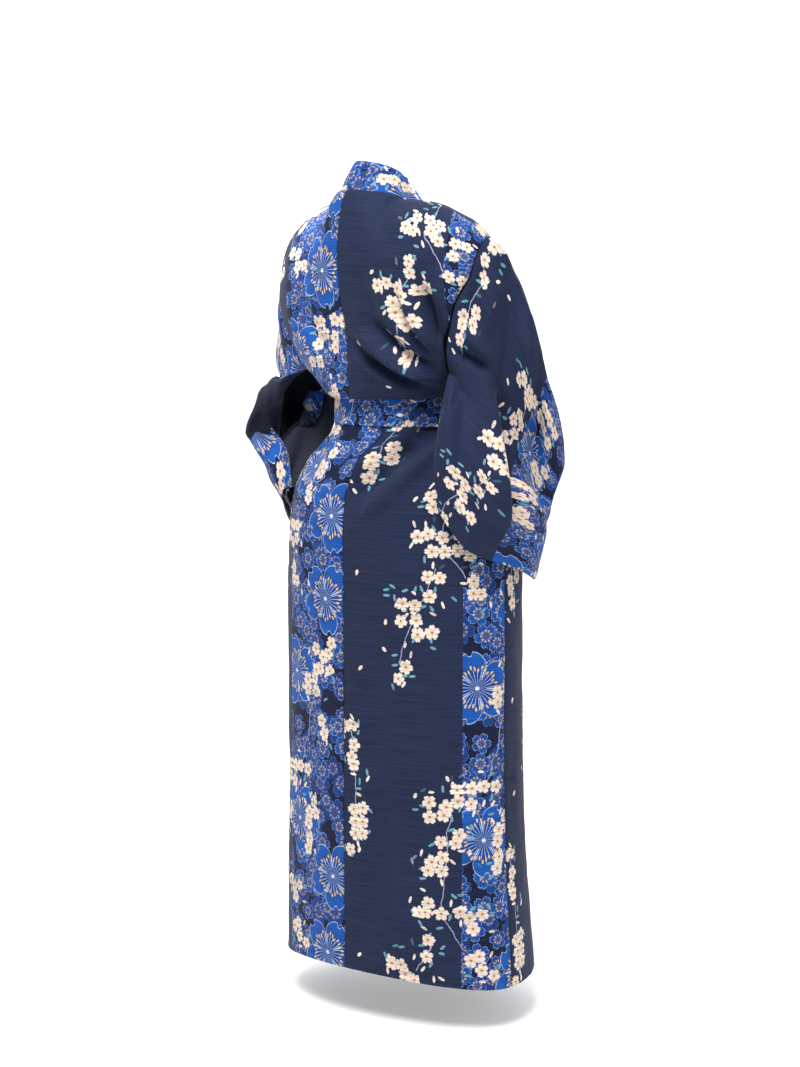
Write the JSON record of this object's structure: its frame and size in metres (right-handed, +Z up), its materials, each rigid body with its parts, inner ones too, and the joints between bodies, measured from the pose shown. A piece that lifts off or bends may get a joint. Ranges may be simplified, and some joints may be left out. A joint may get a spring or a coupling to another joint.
{
  "type": "cotton kimono",
  "caption": "Long unlined cotton kimono with square hanging sleeves, a stand-off collar band and a narrow tied sash, as worn, open at neck, cuffs and hem.",
  "frame": {"origin": "middle of the line between the shoulder seams' ends, where the wearer carries the garment", "axes": "+X towards the wearer's left, +Y towards the back, +Z up"},
  "size_m": [0.606, 0.3588, 1.3688],
  "materials": {
    "printed_cotton": "woven cotton with a flower print",
    "collar_cloth": "woven cotton with a flower print",
    "sash_cloth": "woven cotton with a flower print"
  },
  "bodies": {
    "root": {"back_right": "printed_cotton", "back_left": "printed_cotton", "front_right": "printed_cotton", "front_left": "printed_cotton", "okumi_right": "printed_cotton", "okumi_left": "printed_cotton", "collar_left": "collar_cloth", "collar_right": "collar_cloth", "sleeve_right": "printed_cotton", "sleeve_left": "printed_cotton", "sash": "sash_cloth", "sash_knot": "sash_cloth", "sash_end_right": "sash_cloth", "sash_end_left": "sash_cloth"}
  },
  "joints": []
}
